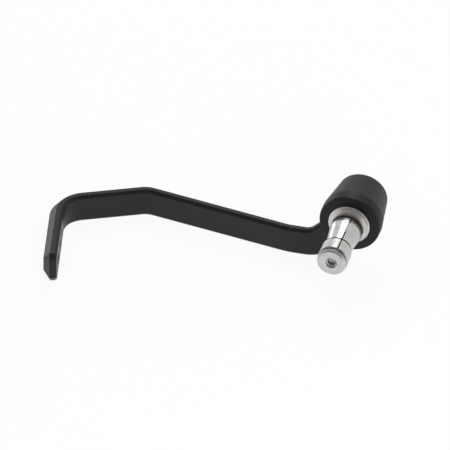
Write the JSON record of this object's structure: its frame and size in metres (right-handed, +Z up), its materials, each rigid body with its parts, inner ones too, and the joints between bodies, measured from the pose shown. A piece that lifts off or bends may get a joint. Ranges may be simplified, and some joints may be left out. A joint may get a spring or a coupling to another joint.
{
  "type": "brake lever guard",
  "caption": "Handlebar-end guard with a tapered barrel, a bevelled blade that curves round the brake lever, and an expanding clamp.",
  "frame": {"origin": "centre of the flange's seat face, on the bar axis, where the end of the handlebar meets the guard", "axes": "+X along the bar axis, pointing outboard to the end cap; +Y forward, past the lever to the second bend; +Z up. The tail hooks inboard, toward -X."},
  "size_m": [0.0825, 0.1854, 0.0522],
  "materials": {
    "black_moulding": "satin moulded nylon",
    "black_anodised": "satin black anodised",
    "machined_aluminium": "bright turned",
    "black_rubber": "matt",
    "plated_steel": "zinc plated"
  },
  "bodies": {
    "root": {"guard_blade": "black_moulding", "barrel_collar": "black_anodised", "end_cap": "black_anodised", "core_sleeve": "machined_aluminium", "seat_flange": "machined_aluminium", "finger_top_front": "machined_aluminium", "finger_top_back": "machined_aluminium", "finger_low_back": "machined_aluminium", "finger_low_front": "machined_aluminium", "foot_ring": "black_rubber", "finger_ring": "black_rubber", "cone_nut": "machined_aluminium", "cap_screw": "plated_steel"}
  },
  "joints": []
}
